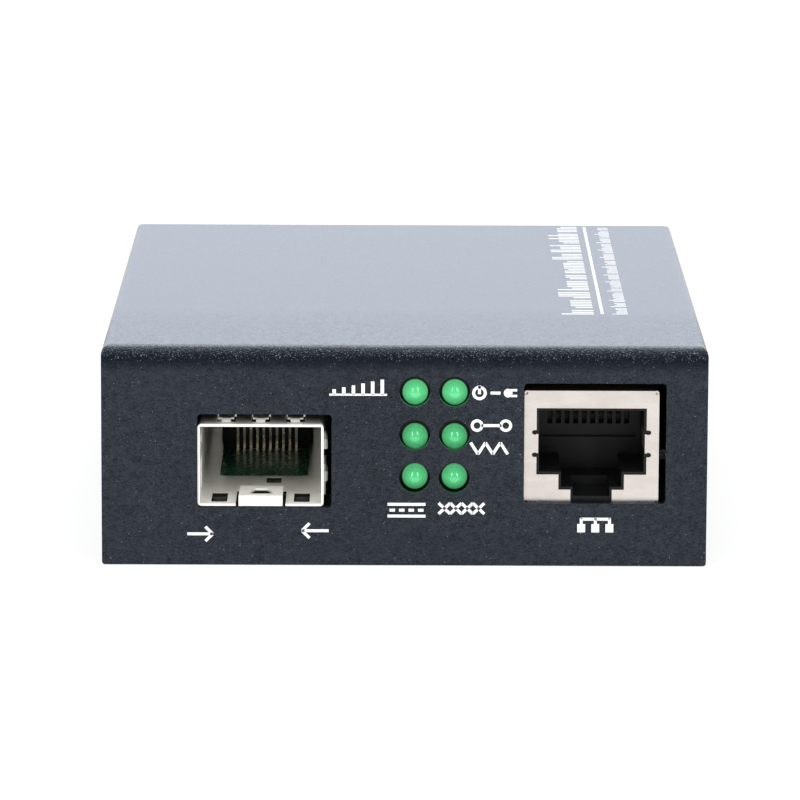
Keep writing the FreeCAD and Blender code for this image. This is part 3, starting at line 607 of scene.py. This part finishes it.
def powerMark(bm, x, z, w, h, t):  # plug and flash
    disc(bm, x + h / 2, z + h / 2, h / 2, h / 2 - t)
    bar(bm, x + h / 2, z + h * 0.72, t, h * 0.6)
    bar(bm, x + w * 0.52, z + h / 2, w * 0.22, t)
    disc(bm, x + w * 0.8, z + h / 2, h * 0.3)
    bar(bm, x + w * 0.93, z + h * 0.7, w * 0.14, t * 0.8)
    bar(bm, x + w * 0.93, z + h * 0.3, w * 0.14, t * 0.8)


def linkMark(bm, x, z, w, h, t):  # two joined rings
    r = h * 0.45
    for middle in (x + r, x + w - r):
        disc(bm, middle, z + h / 2, r, r - t)
    bar(bm, x + w / 2, z + h / 2, w - h * 1.5, t)


def pulseMark(bm, x, z, w, h, t):  # a zigzag
    step = w / 5
    slope, length = math.atan2(h * 0.8, step), math.hypot(h * 0.8, step)
    for i in range(5):
        bar(bm, x + step * (i + 0.5), z + h / 2, length, t, slope if i % 2 else -slope)


def fibreMark(bm, x, z, w, h, t):  # a strand with its core
    bar(bm, x + w / 2, z + h - t / 2, w, t)
    bar(bm, x + w / 2, z + t / 2, w, t)
    for i in range(4):
        bar(bm, x + w * (i + 0.5) / 4, z + h / 2, w / 7, t)


def copperMark(bm, x, z, w, h, t):  # a twisted pair
    step = w / 4
    slope, length = math.atan2(h * 0.75, step), math.hypot(h * 0.75, step)
    for i in range(4):
        for lean in (slope, -slope):
            bar(bm, x + step * (i + 0.5), z + h / 2, length, t, lean)


def socketMark(bm, x, z, w, h, t):  # three boxes on a line
    for at in (0.14, 0.5, 0.86):
        bar(bm, x + w * at, z + h * 0.3, w * 0.2, h * 0.55)
    bar(bm, x + w / 2, z + h - t / 2, w * 0.76, t)
    for at in (0.14, 0.5, 0.86):
        bar(bm, x + w * at, z + h * 0.75, t, h * 0.45)


def arrowMark(bm, x, z, w, h, t, way):
    bar(bm, x + w / 2, z + h / 2, w, t)
    tip = x + w if way > 0 else x
    for lean in (1, -1):
        place = tip - way * h * 0.25
        bar(bm, place, z + h / 2 - lean * h * 0.24, h * 0.66, t, lean * way * math.radians(45))


def sendMark(bm, x, z, w, h, t):
    arrowMark(bm, x, z, w, h, t, 1)


def takeMark(bm, x, z, w, h, t):
    arrowMark(bm, x, z, w, h, t, -1)


marks = (speedMark, powerMark, linkMark, pulseMark, fibreMark, copperMark, socketMark, sendMark, takeMark)
for draw in marks:
    bm = bmesh.new()
    draw(bm, *frontMarks[draw.__name__], frontMarks["stroke"])
    finishMarks("front_" + draw.__name__, bm, frontFace, ink["thick"])


topMarks = {  # rows of short strokes along the depth, in mm
    "start": -23.5,
    "end": 44.0,
    "line": (23.92, 0.36),
    "rowOne": {"foot": 22.9, "low": 2.6, "tall": 3.9, "stroke": 0.55, "pitch": 1.22},
    "rowTwo": {"foot": 27.0, "low": 1.35, "tall": 1.9, "stroke": 0.32, "pitch": 0.78},
    "wordsOne": (3, 5, 4, 6, 3, 8, 4, 5, 7, 4),
    "wordsTwo": (6, 4, 9, 3, 7, 5, 8, 4, 6, 10, 5, 7, 4),
    "tallOne": (0, 9, 10, 11, 12, 29, 30, 33, 34, 37, 41, 43),
    "tallTwo": (0, 6, 11, 19, 27, 33, 40, 48, 55, 62, 70),
    "gap": 0.8,  # between words, in pitches
    "short": 0.8,
}


def strokeRow(name, row, words, tall, s):
    bm = bmesh.new()
    y, count = s["start"], 0
    for letters in words:
        for i in range(letters):
            if y > s["end"]:
                break
            size = row["low"] * (s["short"] if (count * 7) % 5 == 1 else 1.0)
            size = row["tall"] if count in tall else size
            bar(bm, row["foot"] - size / 2, y, size, row["stroke"])
            y += row["pitch"]
            count += 1
        y += row["pitch"] * s["gap"]
    finishMarks(name, bm, topFace, ink["thick"])


strokeRow("top_row_one", topMarks["rowOne"], topMarks["wordsOne"], topMarks["tallOne"], topMarks)
strokeRow("top_row_two", topMarks["rowTwo"], topMarks["wordsTwo"], topMarks["tallTwo"], topMarks)
bm = bmesh.new()
lineX, lineWidth = topMarks["line"]
start, end = topMarks["start"], topMarks["end"]
bar(bm, lineX, (start + end) / 2, lineWidth, end - start)
finishMarks("top_line", bm, topFace, ink["thick"])
print("marks made")


stage = {
    "floorSize": 4,
    "floorGap": 0.02 * mm,
    "floorColour": 0.80,
    "floorSeen": 0.30,  # what of it answers to light when seen or mirrored
    "floorWhite": 0.72,
    "light": (1.25, 0.62),  # of the surroundings, from the front and the back
    "lightRange": (-0.7, 0.3),
    "mirrored": (0.05, 1.0),  # what glossy surfaces see there
    "mirroredRange": (-0.15, 0.4),
    "mirroredTint": (0.91, 0.94, 1.0, 1),
    "aim": (0, 0, 13 * mm),
    "lamps": {
        "stripLeft": {
            "place": (-0.36, -0.72, 0.62),
            "size": (0.045, 1.0),
            "power": 3.2,
            "colour": (1.0, 0.99, 0.97),
        },
        "stripRight": {
            "place": (0.36, -0.72, 0.62),
            "size": (0.045, 1.0),
            "power": 3.2,
            "colour": (1.0, 0.99, 0.97),
        },
        "rearLamp": {
            "place": (0.0, 1.5, 0.45),
            "size": (2.4, 0.7),
            "power": 2.9,
            "colour": (0.68, 0.79, 1.0),
        },
        "overLamp": {
            "place": (0.0, 0.85, 1.15),
            "size": (1.2, 0.8),
            "power": 8.0,
            "colour": (0.90, 0.95, 1.0),
        },
    },
}


def makeFloor(s):
    bm = bmesh.new()
    place = Matrix.Translation((0, 0, cadLow.z - s["floorGap"]))
    bmesh.ops.create_grid(bm, x_segments=1, y_segments=1, size=s["floorSize"], matrix=place)
    mesh = bpy.data.meshes.new("floor")
    bm.to_mesh(mesh)
    bm.free()
    finish = Finish("paleFloor")
    path = finish.add("ShaderNodeLightPath").socket.node
    camera, glossy = (Signal(finish, path.outputs[n]) for n in ("Is Camera Ray", "Is Glossy Ray"))
    seen = camera.math("MAXIMUM", glossy)
    tone = finish.mix(seen, grey(s["floorColour"]), grey(s["floorSeen"]))
    lit = finish.add("ShaderNodeBsdfDiffuse", inputs={"Color": tone})
    glow = finish.add("ShaderNodeEmission", inputs={"Color": grey(1), "Strength": seen * s["floorWhite"]})
    mesh.materials.append(finish.done(finish.add("ShaderNodeAddShader", inputs={0: lit, 1: glow})))
    floor = bpy.data.objects.new("floor", mesh)
    bpy.context.scene.collection.objects.link(floor)


def makeWorld(s):
    world = bpy.data.worlds.new("world")
    world.use_nodes = True
    bpy.context.scene.world = world
    sky = Finish("world", world.node_tree)
    path = sky.add("ShaderNodeLightPath").socket.node
    rays = ("Is Camera Ray", "Is Glossy Ray", "Is Transmission Ray")
    camera, glossy, through = (Signal(sky, path.outputs[n]) for n in rays)
    shown = camera.math("MAXIMUM", through)
    gloss = glossy * (1 - shown)
    way = sky.axes(sky.add("ShaderNodeTexCoord", output="Generated"))[1]

    def across(values, ends):  # from the first value in front to the second behind
        return way.step(*ends) * (values[1] - values[0]) + values[0]

    soft = across(s["light"], s["lightRange"])
    mirrored = across(s["mirrored"], s["mirroredRange"])
    strength = shown + gloss * mirrored + (1 - shown) * (1 - glossy) * soft
    tint = sky.mix(gloss, grey(1), s["mirroredTint"])
    back = sky.add("ShaderNodeBackground", inputs={"Color": tint, "Strength": strength})
    sky.add("ShaderNodeOutputWorld", inputs={"Surface": back})


def makeLamps(s):
    for name, lamp in s["lamps"].items():
        data = bpy.data.lights.new(name, "AREA")
        data.shape, data.size, data.size_y = "RECTANGLE", *lamp["size"]
        data.energy, data.color = lamp["power"], lamp["colour"]
        light = bpy.data.objects.new(name, data)
        light.location = lamp["place"]
        aim = Vector(s["aim"]) - Vector(lamp["place"])
        light.rotation_mode = "QUATERNION"
        light.rotation_quaternion = aim.to_track_quat("-Z", "Y")
        light.visible_camera = False
        bpy.context.scene.collection.objects.link(light)


makeFloor(stage)
makeWorld(stage)
makeLamps(stage)
print("stage made")
